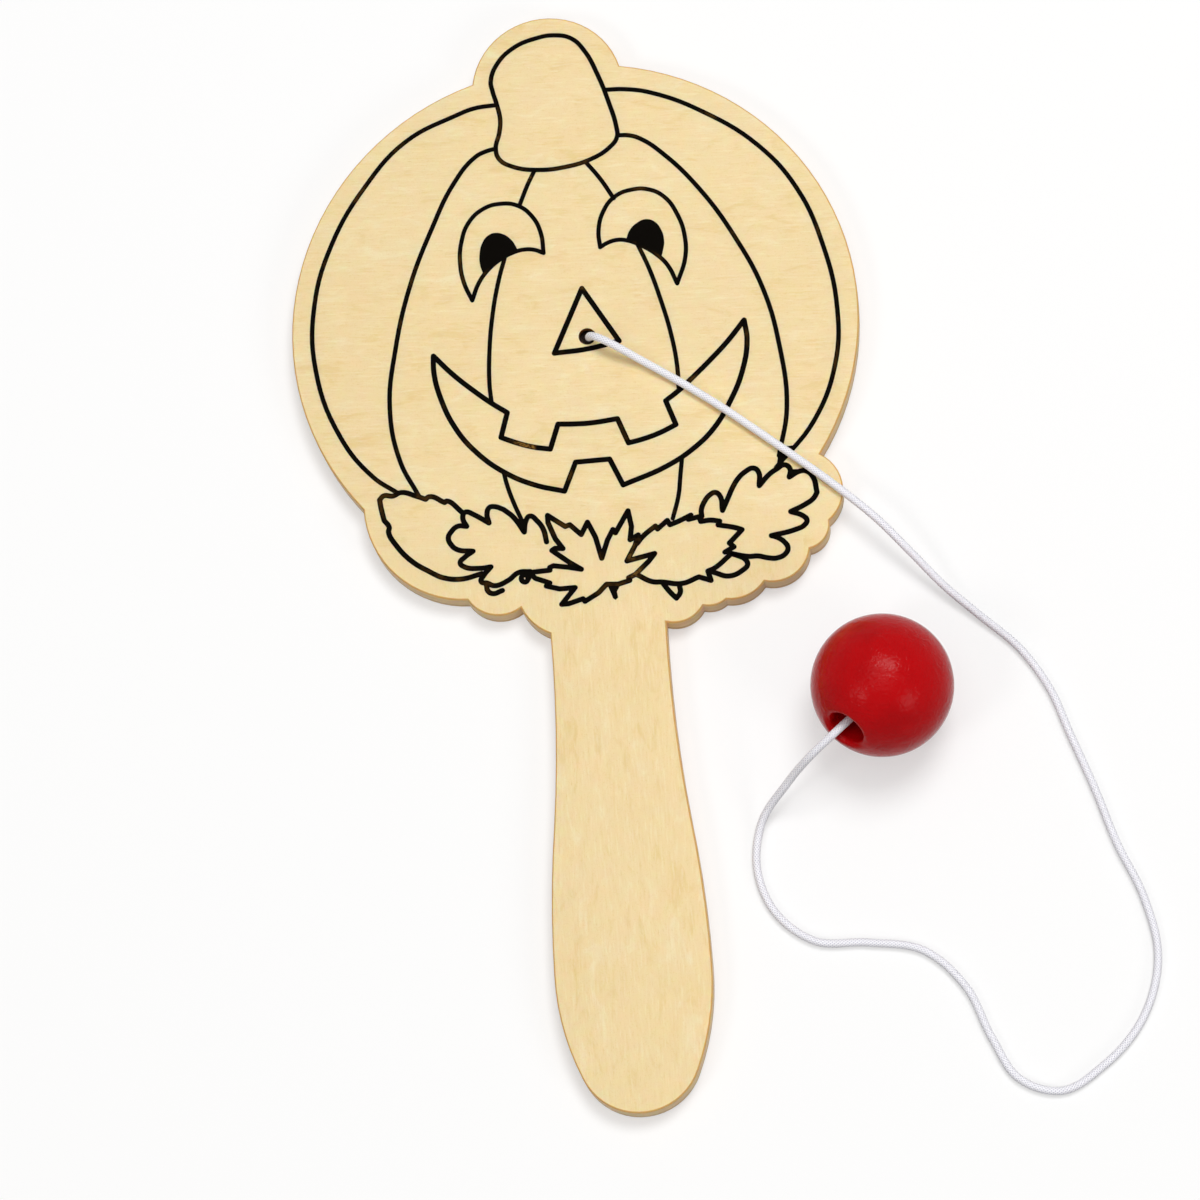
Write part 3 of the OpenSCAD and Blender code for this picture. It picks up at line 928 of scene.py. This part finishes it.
def makeBall():
    # a quarter of the ball's section, spun round the bore and mirrored
    radius = ballSet["diameter"] / 2 * mm
    mouth = ballSet["mouth"] / 2 * mm
    waist = ballSet["waist"] / 2 * mm
    half = ballSet["waistLength"] / 2 * mm
    lip = ballSet["lip"] * mm
    pocketEase = ballSet["pocketEase"] * mm
    waistEase = ballSet["waistEase"] * mm
    tiny = ballSet["mergeWithin"] * mm
    lipHeight = math.sqrt((radius - lip) ** 2 - (mouth + lip) ** 2)
    lipStart = math.atan2(lipHeight, mouth + lip)
    clearSelection()
    bpy.ops.mesh.primitive_circle_add(vertices=ballSet["arcPoints"], radius=radius)
    ball = named("ball_turned")
    bpy.ops.object.mode_set(mode="EDIT")
    arcEnd = radius * math.sin(lipStart)
    selectVerts(ball, lambda place: place.x < 0 or place.y < -tiny or place.y > arcEnd - tiny)
    bpy.ops.mesh.delete(type="VERT")
    # the section goes on round the lip, down the pocket and along the waist
    section = []
    for index in range(ballSet["lipSteps"] + 1):
        turn = lipStart + (math.pi - lipStart) * index / ballSet["lipSteps"]
        section.append((mouth + lip + lip * math.cos(turn), lipHeight + lip * math.sin(turn)))
    depth = lipHeight - half
    section += [(mouth, half + depth * share) for share in ballSet["pocketRings"]]
    section += [(mouth, half + pocketEase), (mouth - pocketEase, half)]
    section += [(waist + waistEase, half), (waist, half - waistEase), (waist, 0)]
    top = max(vert.co.y for vert in bmesh.from_edit_mesh(ball.data).verts)
    selectVerts(ball, lambda place: place.y > top - tiny)
    here = next(vert.co.copy() for vert in bmesh.from_edit_mesh(ball.data).verts if vert.select)
    for x, y in section:
        step = Vector((x, y, 0)) - here
        bpy.ops.mesh.extrude_vertices_move(TRANSFORM_OT_translate={"value": step})
        here = Vector((x, y, 0))
    bpy.ops.mesh.select_all(action="SELECT")
    bpy.ops.mesh.spin(steps=ballSet["spinSteps"], angle=math.tau, center=(0, 0, 0), axis=(0, 1, 0))
    bpy.ops.mesh.select_all(action="SELECT")
    bpy.ops.mesh.remove_doubles(threshold=tiny)
    bpy.ops.object.mode_set(mode="OBJECT")
    mirror = ball.modifiers.new("otherHalf", "MIRROR")
    mirror.use_axis = (False, True, False)
    mirror.merge_threshold = ballSet["mirrorWithin"] * mm
    bpy.ops.object.modifier_apply(modifier="otherHalf")
    bpy.ops.object.mode_set(mode="EDIT")
    bpy.ops.mesh.select_all(action="SELECT")
    bpy.ops.mesh.normals_make_consistent(inside=False)
    bpy.ops.object.mode_set(mode="OBJECT")
    dentTexture = bpy.data.textures.new("woodDents", "CLOUDS")
    dentTexture.noise_scale = ballSet["dentSize"] * mm
    dents = ball.modifiers.new("dents", "DISPLACE")
    dents.texture = dentTexture
    dents.texture_coords = "LOCAL"
    dents.mid_level = 1.0     # only inwards, so the ball stays inside its CAD box
    dents.strength = ballSet["dents"] * mm
    bpy.ops.object.modifier_apply(modifier="dents")
    turn = Vector((0, 1, 0)).rotation_difference(boreWay)
    ball.matrix_world = Matrix.Translation(ballAt) @ turn.to_matrix().to_4x4()
    bpy.ops.object.transform_apply(location=True, rotation=True, scale=True)
    bpy.ops.object.shade_smooth_by_angle(angle=math.radians(ballSet["smoothUnder"]))
    return ball


def paintMaterial():
    # an even coat, brushed on wood, with ripples that show in its shine
    material, tree, shader = newMaterial("redPaint")
    place = addNode(tree, "TexCoord").outputs["Object"]
    patchy = noise(tree, place, ballSet["patchSize"], detail=4.0)
    ripple = noise(tree, place, ballSet["rippleSize"], detail=2.0, warp=ballSet["rippleWarp"])
    fine = noise(tree, place, ballSet["fineSize"], detail=2.0)
    deep = ramp(tree, patchy, *ballSet["deepFrom"], top=ballSet["deepShare"])
    tree.links.new(mixColour(tree, deep, ballSet["red"], ballSet["deep"]), shader.inputs["Base Color"])
    tree.links.new(between(tree, patchy, *ballSet["roughness"]), shader.inputs["Roughness"])
    height = math2(tree, "ADD", ripple, math2(tree, "MULTIPLY", fine, ballSet["fineHeight"]))
    addRelief(tree, shader, height, ballSet["rippleDepth"], ballSet["rippleStrength"])
    shader.inputs["Specular IOR Level"].default_value = ballSet["gloss"]
    return material


ball = makeBall()
dress(ball, paintMaterial())
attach(ball, "ball")
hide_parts("ball")
print("ball turned:", len(ball.data.polygons), "faces")


# Studio: a white table, soft lamps and a pale surround

studioSet = {
    "floorSize": 6.0,          # m
    "floorGap": 0.05,          # mm below the paddle's back
    "floorGrey": 0.52,
    "floorRoughness": 0.8,
    "floorLift": 0.46,         # added where the floor is seen, so that it shows white and keeps its shadows
    "surround": 0.2,           # light from all round
    "tint": (1, 0.97, 0.93, 1),
    # direction from the object, distance and size in m, share of the light
    "lamps": [
        ((0.22, 0.33, 0.92), 2.0, 0.85, 0.42),
        ((0.05, 0.1, 1.0), 2.2, 2.0, 0.295),
        ((-0.55, -0.36, 0.75), 2.0, 0.55, 0.105),
        ((0.67, -0.55, 0.5), 2.0, 0.8, 0.072),
    ],
}


def seenDirectly(tree):
    # 1 where the camera, a reflection or a view through glass sees the surface
    path = addNode(tree, "LightPath").outputs
    seen = math2(tree, "MAXIMUM", path["Is Camera Ray"], path["Is Glossy Ray"])
    return math2(tree, "MAXIMUM", seen, path["Is Transmission Ray"])


def makeFloor():
    clearSelection()
    place = (0, 0, -studioSet["floorGap"] * mm)
    bpy.ops.mesh.primitive_plane_add(size=studioSet["floorSize"], location=place)
    floor = named("table")
    bpy.ops.object.transform_apply(location=True, rotation=True, scale=True)
    material, tree, shader = newMaterial("whiteTable")
    grey = studioSet["floorGrey"]
    shader.inputs["Base Color"].default_value = (grey, grey, grey, 1)
    shader.inputs["Roughness"].default_value = studioSet["floorRoughness"]
    shader.inputs["Specular IOR Level"].default_value = 0.0
    shader.inputs["Emission Color"].default_value = (1, 1, 1, 1)
    lift = math2(tree, "MULTIPLY", seenDirectly(tree), studioSet["floorLift"])
    tree.links.new(lift, shader.inputs["Emission Strength"])
    dress(floor, material)


def makeLamps():
    for number, (way, distance, size, share) in enumerate(studioSet["lamps"], 1):
        way = Vector(way).normalized()
        clearSelection()
        bpy.ops.object.light_add(type="AREA")
        lamp = named("lamp_" + str(number))
        lamp.data.shape = "DISK"
        lamp.data.size = size
        # a share of 1 would light a level white face to white
        lamp.data.energy = share * math.pi ** 2 * distance ** 2 / way.z
        facing = way.to_track_quat("Z", "Y").to_matrix().to_4x4()
        lamp.matrix_world = Matrix.Translation(way * distance) @ facing


def makeSurround():
    world = bpy.data.worlds.new("paleSurround")
    bpy.context.scene.world = world
    world.use_nodes = True
    tree = world.node_tree
    background = tree.nodes["Background"]
    seen = seenDirectly(tree)
    tree.links.new(mixColour(tree, seen, studioSet["tint"], (1, 1, 1, 1)), background.inputs["Color"])
    tree.links.new(between(tree, seen, studioSet["surround"], 1.0), background.inputs["Strength"])


makeFloor()
makeLamps()
makeSurround()
bpy.context.scene.view_settings.view_transform = "Standard"
print("studio lit")

clearSelection()
